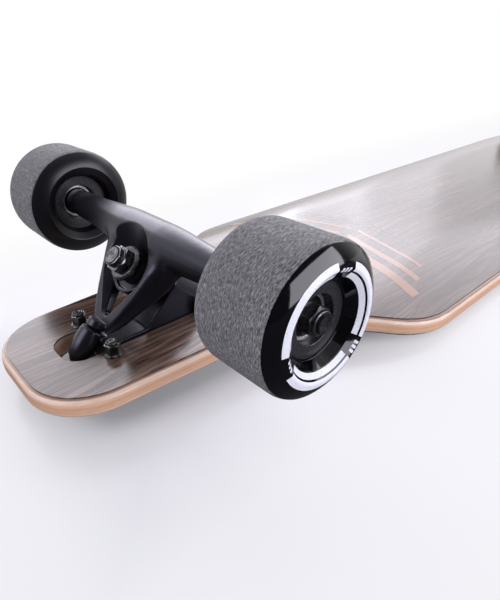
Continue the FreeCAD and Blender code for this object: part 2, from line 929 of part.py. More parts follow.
def build_axle(prefix, place):
    seat = place.multiply(KINGPIN)
    radius = size.axle_diameter / 2
    keep(ring(ZERO, radius, -axle_end, axle_end), prefix + "axle", seat.multiply(AXLE))
    bore = size.bearing_bore / 2
    washer = size.speed_washer_diameter / 2
    inside = ring(bore, washer, hanger_end, bearing_start, AXLE)
    outside = ring(bore, washer, bearing_end, nut_start, AXLE)
    keep(both_ends(grouped(inside, outside)), prefix + "axle_washers", seat)
    race = size.inner_ring_diameter / 2
    first = ring(bore, race, bearing_start, bearing_start + size.bearing_width, AXLE)
    second = ring(bore, race, bearing_end - size.bearing_width, bearing_end, AXLE)
    keep(both_ends(grouped(first, second)), prefix + "bearing_inner_rings", seat)
    low = bearing_start + size.bearing_width
    spacer = ring(bore, size.spacer_diameter / 2, low, low + size.spacer_length, AXLE)
    keep(both_ends(spacer), prefix + "bearing_spacers", seat)
    prism = hexagon(size.axle_nut_flats, size.axle_nut_height, raised(nut_start))
    collar_start = nut_start + size.axle_nut_height
    collar_end = collar_start + size.axle_collar_height
    collar = ring(ZERO, size.axle_collar_diameter / 2, collar_start, collar_end)
    thread = ring(ZERO, bore, nut_start - size.overrun, collar_start + size.overrun)
    nut = cut(fused(prism, collar), thread)
    nut.Placement = AXLE
    keep(both_ends(nut), prefix + "axle_nuts", seat)


# Wheels


def build_wheel(prefix, place):
    """Urethane tyre on a hub with two shielded bearings; the wheel's own Z is its axle."""
    radius = size.wheel_diameter / 2
    half = size.wheel_width / 2
    tread = size.tread_width / 2
    edge = size.edge_width / 2
    # The ground tread rounds off to a crisp edge, where the swelling face begins
    turn = edge - tread
    edge_radius = radius - size.tread_round + root(size.tread_round * size.tread_round - turn * turn)
    cone_rim = size.face_rim_diameter / 2
    cone = size.face_cone_diameter / 2
    step = size.step_diameter / 2
    hub = size.hub_diameter / 2
    cone_face = half - size.face_cone_depth
    step_face = half - size.step_depth
    hub_face = half - size.hub_face_depth
    tyre = turned(
        [
            (hub, -step_face),
            (step, -step_face),
            (cone, -cone_face),
            (cone_rim, -half, size.face_swell_radius, 1),
            (edge_radius, -edge, size.tread_round, 1),
            (radius, -tread),
            (radius, tread, size.tread_round, 1),
            (edge_radius, edge, size.face_swell_radius, 1),
            (cone_rim, half),
            (cone, cone_face),
            (step, step_face),
            (hub, step_face),
        ]
    )
    keep(tyre, prefix + "tyre", place)
    mouth = size.hub_mouth_diameter / 2
    seat = size.bearing_diameter / 2
    rib = size.hub_rib_diameter / 2
    low = size.spacer_length / 2
    high = low + size.bearing_width
    core = turned(
        [
            (rib, -low),
            (seat, -low),
            (seat, -high),
            (mouth, -high),
            (mouth, -hub_face),
            (hub, -hub_face),
            (hub, hub_face),
            (mouth, hub_face),
            (mouth, high),
            (seat, high),
            (seat, low),
            (rib, low),
        ]
    )
    keep(core, prefix + "core", place)
    race = size.outer_ring_bore / 2
    outer = ring(race, seat, low, high)
    keep(grouped(outer, mirrored(outer, Vector(0, 0, 1))), prefix + "bearing_outer_rings", place)
    inner = size.inner_ring_diameter / 2 + size.shield_clearance
    shield_top = high - size.shield_recess
    shield_low = low + size.shield_recess
    shields = grouped(
        ring(inner, race, shield_top - size.shield_thickness, shield_top),
        ring(inner, race, shield_low, shield_low + size.shield_thickness),
    )
    keep(grouped(shields, mirrored(shields, Vector(0, 0, 1))), prefix + "bearing_shields", place)


def build_truck(name, place):
    prefix = name + "_"
    build_baseplate(prefix, place)
    build_pivot_cup(prefix, place)
    build_kingpin(prefix, place)
    build_fasteners(prefix, place)
    build_hanger(prefix, place)
    build_axle(prefix, place)
    for side in (-1, 1):
        wheel = place.multiply(KINGPIN).multiply(AXLE).multiply(raised(wheel_middle * side))
        hand = "right" if wheel.Base.y < 0 else "left"
        build_wheel(prefix + hand + "_", wheel)


def check_model():
    """Stops the build at a failed feature or a bad solid."""
    for thing in doc.Objects:
        if {"Invalid", "Error"} & set(thing.State):
            raise RuntimeError("%s (%s) failed: %s" % (thing.Name, thing.Label, thing.State))
    for node in NODES:
        if node.Shape.isNull() or not node.Shape.isValid() or not node.Shape.Solids:
            raise RuntimeError("%s has no sound shape" % node.Label)


build_deck()
for truck_name, truck_place in TRUCKS.items():
    build_truck(truck_name, truck_place)
doc.recompute()
check_model()

os.makedirs("parts", exist_ok=True)
for node in NODES:
    node.Shape.exportStep("parts/%s.step" % node.Label)
    box = node.Shape.BoundBox
    spans = (box.XMin, box.XMax, box.YMin, box.YMax, box.ZMin, box.ZMax)
    solids = len(node.Shape.Solids)
    print("%-28s solids %2d  volume %10.1f  " % (node.Label, solids, node.Shape.Volume), end="")
    print(" ".join("%8.2f" % span for span in spans))
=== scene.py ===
"""Looks of the drop-through longboard, lying upside down on its rails as photographed."""
import math
import bmesh
import bpy
import numpy as np
from mathutils import Matrix, Vector


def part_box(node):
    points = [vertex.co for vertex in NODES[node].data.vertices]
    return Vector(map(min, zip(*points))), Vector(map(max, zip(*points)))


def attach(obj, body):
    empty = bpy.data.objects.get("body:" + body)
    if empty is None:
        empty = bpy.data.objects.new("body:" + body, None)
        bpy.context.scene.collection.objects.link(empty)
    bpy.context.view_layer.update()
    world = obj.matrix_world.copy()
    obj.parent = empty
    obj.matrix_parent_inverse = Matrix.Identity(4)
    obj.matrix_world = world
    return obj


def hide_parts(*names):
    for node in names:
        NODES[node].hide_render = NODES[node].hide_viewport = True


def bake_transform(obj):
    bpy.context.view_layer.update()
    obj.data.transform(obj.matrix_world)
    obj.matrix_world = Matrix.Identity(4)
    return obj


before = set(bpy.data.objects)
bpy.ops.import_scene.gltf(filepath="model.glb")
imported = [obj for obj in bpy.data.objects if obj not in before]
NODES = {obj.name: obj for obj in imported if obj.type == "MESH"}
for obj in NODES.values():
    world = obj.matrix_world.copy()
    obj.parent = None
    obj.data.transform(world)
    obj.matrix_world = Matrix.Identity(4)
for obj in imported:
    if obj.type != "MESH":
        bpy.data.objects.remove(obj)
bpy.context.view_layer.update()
MM = 0.001
TAU = 2 * math.pi

# Sizes and places taken from the part, in millimetres
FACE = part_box("bottom_veneer")[1].z / MM
AXLE_X = 430.0
WHEEL_Y = 108.2
HANGER_END = 95.0
BEARING_END = 120.2
NUT_START = 121.4
KINGPIN_X, KINGPIN_Z = -14.1421, 35.8579
KINGPIN_DEGREES = 45
KINGPIN_TO_AXLE = 20.0
FLAT_HALF = 58.0
CONCAVE_RADIUS = 156.0
DECK_THICKNESS = 12.0
BOLT_X = (-43.15, 20.35)
BOLT_Y = 20.65
BOLT_RADIUS = 2.5
FLANGE_BOTTOM = -17.2


def moved(x, y, z):
    """A shift given in millimetres."""
    return Matrix.Translation(Vector((x, y, z)) * MM)


def rotated(degrees, axis):
    return Matrix.Rotation(math.radians(degrees), 4, axis)


# Frames of the front truck: Z runs up from the deck, along the kingpin or along the axle
STILL = Matrix.Identity(4)
FLIP = rotated(180, "X")
TRUCK = moved(-AXLE_X, 0, FACE)
KINGPIN = TRUCK @ moved(KINGPIN_X, 0, KINGPIN_Z) @ rotated(-KINGPIN_DEGREES, "Y")
AXLE = KINGPIN @ moved(KINGPIN_TO_AXLE, 0, 0) @ rotated(-90, "X") @ rotated(KINGPIN_DEGREES, "Z")

# Each truck's name and its turn from the front truck's place
TRUCKS = (("front", STILL), ("rear", rotated(180, "Z")))


# Materials


class Nodes:
    """Short calls for making and joining the nodes of one tree."""

    def __init__(self, tree):
        self.tree = tree

    def node(self, kind, inputs=(), **settings):
        made = self.tree.nodes.new("ShaderNode" + kind)
        for key, value in settings.items():
            setattr(made, key, value)
        for key, value in dict(inputs).items():
            self.plug(made.inputs[key], value)
        return made

    def plug(self, socket, value):
        """Joins an output to a socket, or sets the socket's own value."""
        if isinstance(value, bpy.types.NodeSocket):
            self.tree.links.new(value, socket)
        elif isinstance(value, tuple) and len(value) == 3 and socket.type == "RGBA":
            socket.default_value = (*value, 1)
        else:
            socket.default_value = value

    def math(self, kind, a, b=0.0):
        return self.node("Math", {0: a, 1: b}, operation=kind).outputs[0]


class Paint(Nodes):
    """A material on the Principled shader, with calls for patterns in a piece's own frame."""

    def __init__(self, name):
        self.material = bpy.data.materials.new(name)
        self.material.use_nodes = True
        super().__init__(self.material.node_tree)
        self.shader = self.tree.nodes["Principled BSDF"]
        self.coords = self.node("TexCoord").outputs["Object"]

    def set(self, **values):
        for key, value in values.items():
            self.plug(self.shader.inputs[key.replace("_", " ")], value)

    def place(self, scale=(1, 1, 1)):
        return self.node("Mapping", {"Vector": self.coords, "Scale": scale}).outputs[0]

    def noise(self, scale, detail=3.0, rough=0.55, stretch=(1, 1, 1), warp=0.0, vector=None):
        where = vector if vector is not None else self.place(stretch)
        made = self.node("TexNoise", {"Vector": where, "Scale": scale, "Detail": detail,
                                      "Roughness": rough, "Distortion": warp})
        return made.outputs["Fac"]

    def weigh(self, a, b, share):
        """A sum of two values: share of the first and the rest of the second."""
        first = self.math("MULTIPLY", a, share)
        return self.math("ADD", first, self.math("MULTIPLY", b, 1 - share))

    def ramp(self, factor, *stops):
        """Colours or greys between stops of (position, colour)."""
        made = self.node("ValToRGB", {"Fac": factor})
        band = made.color_ramp
        while len(band.elements) < len(stops):
            band.elements.new(0.5)
        for element, (position, colour) in zip(band.elements, stops):
            element.position = position
            element.color = (*colour, 1) if isinstance(colour, tuple) else (colour,) * 3 + (1,)
        return made.outputs["Color"]

    def mix(self, factor, a, b):
        made = self.node("Mix", data_type="RGBA")
        for index, value in ((0, factor), (6, a), (7, b)):
            self.plug(made.inputs[index], value)
        return made.outputs[2]

    def bump(self, height, strength, distance):
        """Roughens the surface by a height, its distance in millimetres."""
        made = self.node("Bump", {"Height": height, "Strength": strength, "Distance": distance * MM})
        self.plug(self.shader.inputs["Normal"], made.outputs[0])
        return self


def level(low, high):
    """Two stops that spread a noise's middle range from one grey to another."""
    return (0.3, low), (0.7, high)


def walnut():
    """Dark figured veneer under a satin lacquer that mirrors the bright surroundings at low angles."""
    p = Paint("walnut_veneer")
    wander = p.noise(4.0, 3, stretch=(1, 3, 1))
    shift = p.node("CombineXYZ", {"Y": p.math("MULTIPLY", wander, 0.035)}).outputs[0]
    push = p.node("VectorMath", {0: p.place(), 1: shift}, operation="ADD").outputs[0]

    def along_grain(scale, across, detail, rough, warp):
        where = p.node("Mapping", {"Vector": push, "Scale": (1, across, across)}).outputs[0]
        return p.noise(scale, detail, rough, vector=where, warp=warp)

    broad = along_grain(4.0, 16, 3, 0.55, 0.5)
    streak = along_grain(12.0, 17, 5, 0.62, 0.9)
    fine = along_grain(26.0, 30, 4, 0.65, 0.4)
    tone = p.weigh(broad, streak, 0.4)
    colour = p.ramp(tone, (0.41, (0.05, 0.03, 0.023)), (0.48, (0.11, 0.067, 0.05)),
                    (0.54, (0.175, 0.114, 0.088)), (0.61, (0.26, 0.18, 0.142)))
    colour = p.mix(p.ramp(streak, (0.37, 1.0), (0.43, 0.0)), colour, (0.032, 0.019, 0.015))
    colour = p.mix(p.ramp(fine, (0.4, 0.8), (0.49, 0.0)), colour, (0.04, 0.024, 0.019))
    # The figure is calmer along the middle of the board than at its ends
    ends = p.math("ABSOLUTE", p.node("SeparateXYZ", {0: p.place()}).outputs[0])
    colour = p.mix(p.ramp(ends, (0.28, 0.6), (0.42, 0.0)), colour, (0.086, 0.066, 0.059))
    p.set(Base_Color=colour, Roughness=p.ramp(fine, *level(0.5, 0.4)), Specular_IOR_Level=0.0,
          Coat_Weight=1.0, Coat_Roughness=0.21)
    return p.bump(p.math("ADD", fine, streak), 0.1, 0.06).material


def maple():
    """Plies on the deck's edge, told apart by their depth below the face's concave."""
    p = Paint("maple_plies")
    place = p.node("SeparateXYZ", {0: p.place()})
    far = p.math("SUBTRACT", p.math("ABSOLUTE", place.outputs[1]), FLAT_HALF * MM)
    aside = p.math("MAXIMUM", far, 0.0)
    square = p.math("MULTIPLY", aside, aside)
    reach = p.math("SQRT", p.math("SUBTRACT", (CONCAVE_RADIUS * MM) ** 2, square))
    drop = p.math("SUBTRACT", CONCAVE_RADIUS * MM, reach)
    depth = p.math("SUBTRACT", p.math("SUBTRACT", FACE * MM, place.outputs[2]), drop)
    share = p.math("DIVIDE", depth, DECK_THICKNESS * MM)
    wobble = p.math("SUBTRACT", p.noise(90, 2), 0.5)
    share = p.math("ADD", share, p.math("MULTIPLY", wobble, 0.012))
    tan, amber, cream = (0.88, 0.56, 0.38), (0.8, 0.47, 0.28), (0.92, 0.7, 0.56)
    plies = p.ramp(share, (0.0, (0.2, 0.13, 0.1)), (0.08, (0.28, 0.18, 0.13)), (0.1, cream),
                   (0.225, cream), (0.245, tan), (0.36, tan), (0.385, amber), (0.5, amber),
                   (0.525, tan), (0.66, amber), (0.685, cream), (0.8, tan), (0.825, cream),
                   (0.93, cream), (0.95, (0.16, 0.1, 0.07)))
    streak = p.noise(240, 4, 0.6, stretch=(0.5, 0.5, 3))
    colour = p.mix(p.ramp(streak, *level(0.0, 0.35)), plies, (0.56, 0.3, 0.18))
    p.set(Base_Color=colour, Roughness=p.ramp(streak, *level(0.42, 0.55)), Coat_Weight=0.5,
          Coat_Roughness=0.2)
    return p.bump(streak, 0.1, 0.05).material


def grip():
    """Black grit with a few grains painted light grey as glints, which are also smoother."""
    p = Paint("grip_tape_grit")
    grains = p.node("TexVoronoi", {"Vector": p.place(), "Scale": 1500.0}).outputs["Distance"]
    painted_glint_grains = p.noise(2600, 1)
    blotch = p.ramp(p.noise(14, 3), *level(0.0, 1.0))
    colour = p.mix(blotch, (0.012, 0.012, 0.013), (0.024, 0.024, 0.025))
    # Painted glint: these grains are painted light grey in the grit's colour, and their roughness is also
    # lowered
    colour = p.mix(p.ramp(painted_glint_grains, (0.66, 0.0), (0.74, 1.0)), colour, (0.16, 0.16, 0.17))
    p.set(Base_Color=colour, Roughness=p.ramp(painted_glint_grains, (0.4, 0.95), (0.7, 0.5)))
    return p.bump(grains, 0.9, 0.4).material


def casting():
    """Cast metal under a satin black coat."""
    p = Paint("black_casting")
    cloud = p.noise(45, 4)
    fine = p.noise(1400, 2)
    p.set(Base_Color=p.mix(cloud, (0.004, 0.004, 0.0065), (0.008, 0.008, 0.0115)),
          Roughness=p.ramp(cloud, *level(0.27, 0.33)), Specular_IOR_Level=0.55,
          Specular_Tint=(0.8, 0.8, 1.0))
    return p.bump(p.math("ADD", fine, p.math("MULTIPLY", cloud, 0.6)), 0.08, 0.05).material


def metal(name, dark, light, rough, scale=260.0):
    """Worn metal: two tones and a roughness that follow fine scratches."""
    p = Paint(name)
    wear = p.noise(scale, 5, 0.65, warp=0.6)
    scratch = p.noise(scale * 3, 3, stretch=(1, 1, 5))
    tone = p.weigh(wear, scratch, 0.65)
    p.set(Base_Color=p.ramp(tone, (0.4, dark), (0.62, light)), Metallic=1.0,
          Roughness=p.ramp(tone, (0.35, rough + 0.12), (0.65, rough)))
    return p.bump(scratch, 0.08, 0.03).material


def turned():
    """Steel faced off in a lathe: fine rings about the piece's own axis."""
    p = Paint("turned_steel")
    rings = p.node("TexWave", {"Vector": p.place(), "Scale": 250.0, "Distortion": 0.6},
                   wave_type="RINGS", rings_direction="Z")
    wear = p.noise(900, 4, 0.65)
    p.set(Base_Color=p.ramp(wear, (0.38, (0.3, 0.3, 0.31)), (0.6, (0.75, 0.75, 0.77))), Metallic=0.6,
          Roughness=p.ramp(wear, *level(0.46, 0.56)))
    return p.bump(rings.outputs["Fac"], 0.8, 0.5).material


def urethane(name, colour, rough, shine):
    """Cast urethane or moulded plastic with faint flow marks and dust."""
    p = Paint(name)
    flow = p.noise(60, 3, warp=0.5)
    dust = p.noise(900, 2)
    light = tuple(c * 1.6 + 0.001 for c in colour)
    p.set(Base_Color=p.mix(flow, colour, light), Specular_IOR_Level=shine,
          Roughness=p.ramp(dust, (0.5, rough), (0.72, rough + 0.05)))
    return p.bump(flow, 0.05, 0.08).material


def tread():
    """Ground urethane: a fine bright speckle drawn out a little round the wheel."""
    p = Paint("ground_tread")
    lines = p.noise(1.0, 2, 0.6, stretch=(560, 560, 4400))
    speck = p.noise(4300, 2, 0.7)
    broad = p.noise(38, 2)
    mark = p.weigh(lines, speck, 0.55)
    colour = p.ramp(mark, (0.4, (0.03, 0.03, 0.033)), (0.5, (0.13, 0.13, 0.137)),
                    (0.6, (0.43, 0.43, 0.445)))
    colour = p.mix(p.ramp(broad, *level(0.0, 0.2)), colour, (0.15, 0.148, 0.138))
    p.set(Base_Color=colour, Roughness=p.ramp(speck, *level(0.95, 0.75)), Specular_IOR_Level=0.4)
    return p.bump(mark, 0.3, 0.1).material


def ink(name, colour, worn, lacquer=0.0):
    """Printed ink with a little pinholing, bare or under lacquer."""
    p = Paint(name)
    holes = p.noise(1300, 3)
    p.set(Base_Color=p.mix(p.ramp(holes, (0.62, 0.0), (0.72, 1.0)), colour, worn),
          Roughness=p.ramp(holes, *level(0.32, 0.45)), Specular_IOR_Level=0.5 - 0.5 * lacquer,
          Coat_Weight=lacquer, Coat_Roughness=0.17)
    return p.material


MATERIALS = {
    "walnut": walnut(),
    "maple": maple(),
    "grip": grip(),
    "casting": casting(),
    "worn_steel": metal("worn_steel", (0.05, 0.05, 0.054), (0.36, 0.36, 0.38), 0.24),
    "bright_steel": metal("bearing_steel", (0.55, 0.55, 0.57), (0.88, 0.88, 0.9), 0.4, 400.0),
    "turned_steel": turned(),
    "black_steel": metal("black_oxide_steel", (0.02, 0.02, 0.022), (0.15, 0.15, 0.157), 0.22),
    "shield": metal("bearing_shield", (0.02, 0.02, 0.022), (0.06, 0.06, 0.065), 0.35, 500.0),
    "dark_steel": metal("dark_steel", (0.035, 0.035, 0.037), (0.2, 0.2, 0.21), 0.34),
    "tyre_side": urethane("gloss_urethane", (0.0012, 0.0012, 0.0024), 0.07, 0.5),
    "tyre_back": urethane("satin_urethane", (0.003, 0.003, 0.005), 0.3, 0.45),
    "tread": tread(),
    "core": urethane("core_plastic", (0.02, 0.02, 0.023), 0.26, 0.5),
    "bushing": urethane("bushing_urethane", (0.008, 0.008, 0.01), 0.36, 0.3),
    "nylon": urethane("nylon_insert", (0.014, 0.014, 0.016), 0.5, 0.3),
    "white_ink": ink("white_ink", (0.86, 0.88, 0.95), (0.5, 0.51, 0.55)),
    "tan_ink": ink("tan_ink", (0.31, 0.165, 0.095), (0.2, 0.12, 0.08), 1.0),
    "brown_ink": ink("brown_ink", (0.06, 0.035, 0.028), (0.16, 0.1, 0.08), 1.0),
}


# Mesh building, in millimetres

# Height of printed ink above the face that carries it
INK_RISE = 0.03


def new_mesh(name, points, faces, materials, face_slots=None, crease=32):
    """A smooth-shaded mesh in metres; edges bent by more than the crease angle stay sharp."""
    mesh = bpy.data.meshes.new(name)
    mesh.from_pydata([Vector(p) * MM for p in points], [], faces)
    finish_mesh(mesh, materials, face_slots, crease)
    return mesh


def finish_mesh(mesh, materials, face_slots, crease):
    """Gives a mesh its materials and shading."""
    for key in materials:
        mesh.materials.append(MATERIALS[key])
    mesh.polygons.foreach_set("use_smooth", [True] * len(mesh.polygons))
    if face_slots:
        mesh.polygons.foreach_set("material_index", face_slots)
    mesh.set_sharp_from_angle(angle=math.radians(crease))
    mesh.update()


def ring(segments, radius, height):
    """Points round Z, where radius and height are numbers or functions of the angle."""
    points = []
    for s in range(segments):
        a = TAU * s / segments
        r = radius(a) if callable(radius) else radius
        z = height(a) if callable(height) else height
        points.append((r * math.cos(a), r * math.sin(a), z))
    return points


def bridge(lower, upper, segments):
    """Faces between two rings, given by the index of each ring's first point."""
    faces = []
    for s in range(segments):
        t = (s + 1) % segments
        faces.append((lower + s, lower + t, upper + t, upper + s))
    return faces


def end_caps(last, segments):
    """Faces that close the first ring and the ring that starts at the point last."""
    return [tuple(last + s for s in range(segments)), tuple(reversed(range(segments)))]


def rounded_path(corners, closed=False, steps=5):
    """A path of (radius, height) whose corners (radius, height, fillet) are replaced by arcs."""
    path = []
    count = len(corners)
    for i, corner in enumerate(corners):
        here = Vector(corner[:2])
        fillet = corner[2] if len(corner) > 2 else 0.0
        inside = closed or 0 < i < count - 1
        if fillet <= 0 or not inside:
            path.append(tuple(here))
            continue
        before = (Vector(corners[i - 1][:2]) - here).normalized()
        after = (Vector(corners[(i + 1) % count][:2]) - here).normalized()
        half = before.angle(after) / 2
        back = fillet / math.tan(half)
        centre = here + (before + after).normalized() * (fillet / math.sin(half))
        first = here + before * back - centre
        last = here + after * back - centre
        turn = first.angle_signed(last)
        for k in range(steps + 1):
            a = -turn * k / steps
            x = first.x * math.cos(a) - first.y * math.sin(a)
            y = first.x * math.sin(a) + first.y * math.cos(a)
            path.append(tuple(centre + Vector((x, y))))
    return path


def lathe(name, path, materials, segments=96, slot_of=None, crease=32):
    """Turns a closed path of (radius, height) about Z; slot_of picks an edge's material."""
    points, faces, slots = [], [], []
    for r, z in path:
        points += ring(segments, r, z)
    for i, start in enumerate(path):
        j = (i + 1) % len(path)
        faces += bridge(i * segments, j * segments, segments)
        slots += [slot_of(start, path[j]) if slot_of else 0] * segments
    mesh = new_mesh(name, points, faces, materials, slots, crease)
    work = bmesh.new()
    work.from_mesh(mesh)
    bmesh.ops.remove_doubles(work, verts=work.verts, dist=1e-7)
    bmesh.ops.recalc_face_normals(work, faces=work.faces)
    work.to_mesh(mesh)
    work.free()
    mesh.set_sharp_from_angle(angle=math.radians(crease))
    return mesh


def hex_radius(flats, angle):
    """A hexagon's edge distance at an angle, with its corners just broken."""
    turn = (angle + math.pi / 6) % (math.pi / 3) - math.pi / 6
    return min(flats / 2 / math.cos(turn), flats / 2 * 1.135)


def nut_mesh(name, flats, height, bore, collar, collar_height, flange=0.0, flange_height=0.0,
             materials=("black_steel", "nylon")):
    """A lock nut from z = 0: optional flange, hexagon with turned-off corners, collar and insert."""
    segments = 120
    bevel = math.tan(math.radians(28))
    half = flats / 2
    rim = flange / 2
    lip = collar / 2
    top = flange_height + height
    end = top + collar_height

    def hexagon(a):
        return hex_radius(flats, a)

    def turned_off(a):
        return max(0.0, hexagon(a) - half * 1.005) * bevel

    metal_rows = [(bore, 0)]
    if flange:
        metal_rows += [(rim - 0.3, 0), (rim, 0.25), (rim, flange_height * 0.55),
                       (rim - 0.2, flange_height * 0.8), (hexagon, flange_height * 1.25)]
    else:
        metal_rows += [(half * 0.97, 0), (hexagon, lambda a: 0.024 * flats + turned_off(a))]
    metal_rows += [(hexagon, lambda a: top - turned_off(a)), (half * 0.985, top), (lip + 0.35, top),
                   (lip, top + 0.35), (lip, end - 0.55), (lip - 0.16, end - 0.2), (lip - 0.5, end)]
    insert_rows = [(lip - 0.95, end), (lip - 1.1, end - 0.3), (bore, end - 0.3)]
    rows = metal_rows + insert_rows
    points, faces, slots = [], [], []
    for radius, z in rows:
        points += ring(segments, radius, z)
    for i in range(len(rows)):
        j = (i + 1) % len(rows)
        faces += bridge(i * segments, j * segments, segments)
        slots += [0 if 0 < j < len(metal_rows) else 1] * segments
    return new_mesh(name, points, faces, materials, slots, 24)


def thread_mesh(name, radius, pitch, length, material, segments=48):
    """A threaded rod end from z = 0 with a broken edge, its groove one true helix."""
    steps = max(8, int(length / pitch * 8))
    groove_depth = 0.32 * pitch
    broken = 0.35 * pitch
    points, faces = [], []
    for i in range(steps + 1):
        z = length * i / steps
        fade = min(1.0, (length - z) / (0.5 * pitch))

        def wall(a):
            phase = (z / pitch - a / TAU) % 1.0
            return radius - groove_depth * (1 - abs(2 * phase - 1)) ** 1.4 - broken * (1 - fade)

        points += ring(segments, wall, z)
    for share, rise in ((0.8, 0.05), (0.45, 0.02), (0.38, -0.12)):
        points += ring(segments, (radius - broken) * share, length + rise)
    last = len(points) - segments
    for lower in range(0, last, segments):
        faces += bridge(lower, lower + segments, segments)
    return new_mesh(name, points, faces + end_caps(last, segments), [material], None, 50)


def put(name, data):
    """A new object in the scene."""
    made = bpy.data.objects.new(name, data)
    bpy.context.scene.collection.objects.link(made)
    return made


def cast_mesh(node, voxel):
    """A casting's skin: the part's solid remeshed finely and relaxed, so that its edges run round."""
    source = bpy.data.meshes.new(node + "_source")
    work = bmesh.new()
    work.from_mesh(NODES[node].data)
    bmesh.ops.remove_doubles(work, verts=work.verts, dist=2e-6)
    work.to_mesh(source)
    work.free()
    holder = put(node + "_source", source)
    remesh = holder.modifiers.new("remesh", "REMESH")
    remesh.mode = "VOXEL"
    remesh.voxel_size = voxel * MM
    relax = holder.modifiers.new("relax", "SMOOTH")
    relax.factor = 0.5
    relax.iterations = 4
    graph = bpy.context.evaluated_depsgraph_get()
    mesh = bpy.data.meshes.new_from_object(holder.evaluated_get(graph), depsgraph=graph)
    bpy.data.objects.remove(holder)
    mesh.materials.clear()
    finish_mesh(mesh, ["casting"], None, 70)
    return mesh


def melt(mesh, share_at, rounds):
    """Relaxes a mesh further by share_at, a share from places in millimetres in the kingpin's frame."""
    count = len(mesh.vertices)
    flat = np.empty(count * 3)
    mesh.vertices.foreach_get("co", flat)
    points = flat.reshape(-1, 3)
    pairs = np.empty(len(mesh.edges) * 2, dtype=np.int64)
    mesh.edges.foreach_get("vertices", pairs)
    a, b = pairs.reshape(-1, 2).T
    home = np.array(KINGPIN.inverted())
    places = (points @ home[:3, :3].T + home[:3, 3]) / MM
    share = share_at(*places.T)[:, None] * 0.5
    valence = (np.bincount(a, minlength=count) + np.bincount(b, minlength=count))[:, None]
    for _ in range(rounds):
        total = np.empty_like(points)
        for axis in range(3):
            total[:, axis] = (np.bincount(a, points[b, axis], count)
                              + np.bincount(b, points[a, axis], count))
        points += share * (total / valence - points)
    mesh.vertices.foreach_set("co", points.ravel())
    mesh.update()


def ramp_between(value, low, high):
    """A smooth step from nothing at low to one at high."""
    t = np.clip((value - low) / (high - low), 0.0, 1.0)
    return t * t * (3 - 2 * t)


def beam_joint(along, across, _):
    """Where a hanger's arms flow into its beam: outside the opening, short of the beam's plain ends."""
    wide = np.abs(across)
    outside = ramp_between(along, 0.0, 8.0) * ramp_between(wide, 17.0, 25.0)
    return outside * (1 - ramp_between(wide, 60.0, 76.0))


def add_piece(name, mesh, matrix, body, replaced):
    """A piece that rides on a body, stands for the replaced nodes and takes its finish from a slot."""
    piece = put(name, mesh)
    piece.matrix_world = matrix
    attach(piece, body)
    if replaced:
        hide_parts(*replaced)


def on_both_trucks(name, mesh, matrix, body, replaced):
    """A front piece, and its copy half a turn away on the rear truck."""
    for prefix, turn in TRUCKS:
        home = body if body == "deck" else prefix + "_" + body
        nodes = [prefix + "_" + n for n in replaced]
        add_piece(prefix + "_" + name, mesh, turn @ matrix, home, nodes)


# Wheels, as radii about the axle and heights above the wheel's middle plane

WHEEL_HALF = 25.0
TREAD_RADIUS = 35.2
TREAD_HALF = 16.0
TREAD_ROUND = 9.0
TREAD_CENTRE = TREAD_RADIUS - TREAD_ROUND
EDGE_HALF = 20.0
EDGE_RADIUS = TREAD_CENTRE + math.sqrt(TREAD_ROUND**2 - (EDGE_HALF - TREAD_HALF) ** 2)
CREST_RADIUS = 25.0
CONE_RADIUS, CONE_HALF = 20.5, 21.8
STEP_RADIUS, STEP_HALF = 18.2, 16.8
HUB_RADIUS, HUB_HALF = 17.3, 16.4
SWELL = 23.0
CORE_BORE, MOUTH_RADIUS = 9.7, 11.5
BEARING_NEAR, BEARING_FAR = 5.0, 12.0
BEARING_RADIUS, OUTER_RING_BORE = 11.0, 9.3
INNER_RING_RADIUS, BEARING_BORE = 6.0, 4.0


def swell_centre():
    """Centre of the arc that the tyre's face follows from the tread's edge to its crest."""
    edge, crest = Vector((EDGE_RADIUS, EDGE_HALF)), Vector((CREST_RADIUS, WHEEL_HALF))
    chord = crest - edge
    inward = Vector((-chord.y, chord.x)).normalized()
    return (edge + crest) / 2 + inward * math.sqrt(SWELL**2 - (chord.length / 2) ** 2)


def face_height(r):
    """Height of the tyre's outer face above the wheel's middle plane."""
    if r > CREST_RADIUS:
        centre = swell_centre()
        return centre.y + math.sqrt(SWELL**2 - (r - centre.x) ** 2)
    fall = (CREST_RADIUS - r) / (CREST_RADIUS - CONE_RADIUS)
    return WHEEL_HALF - fall * (WHEEL_HALF - CONE_HALF)


def mirrored_path(half):
    """A path from its outer half and the same turned over, which share no point."""
    return half + [(r, -z) for r, z in reversed(half)]


def tyre_mesh():
    """The tyre, with a ground tread up to a crisp edge and glossy cast faces beyond it."""
    half = [(TREAD_RADIUS, z) for z in (4.0, 8.0, 12.0)]
    tread_stop = EDGE_HALF - 0.25
    steps = 9
    for k in range(steps + 1):
        z = TREAD_HALF + (tread_stop - TREAD_HALF) * k / steps
        half.append((TREAD_CENTRE + math.sqrt(TREAD_ROUND**2 - (z - TREAD_HALF) ** 2), z))
    half.append((EDGE_RADIUS - 0.03, EDGE_HALF + 0.02))
    face_start, face_stop = EDGE_RADIUS - 0.3, CREST_RADIUS + 0.8
    steps = 13
    for k in range(steps + 1):
        r = face_start + (face_stop - face_start) * k / steps
        half.append((r, face_height(r)))
    inner = [half[-1], (CREST_RADIUS, WHEEL_HALF, 1.0), (CONE_RADIUS, CONE_HALF, 0.5),
             (STEP_RADIUS, STEP_HALF, 0.4), (HUB_RADIUS, STEP_HALF)]
    half += rounded_path(inner)[1:]
    path = [(TREAD_RADIUS, 0.0)] + mirrored_path(half)

    def slot_of(a, b):
        if max(abs(a[1]), abs(b[1])) < EDGE_HALF and min(a[0], b[0]) > EDGE_RADIUS:
            return 1
        return 2 if min(a[1], b[1]) < 0 else 0

    return lathe("tyre", path, ["tyre_side", "tread", "tyre_back"], 160, slot_of, 25)


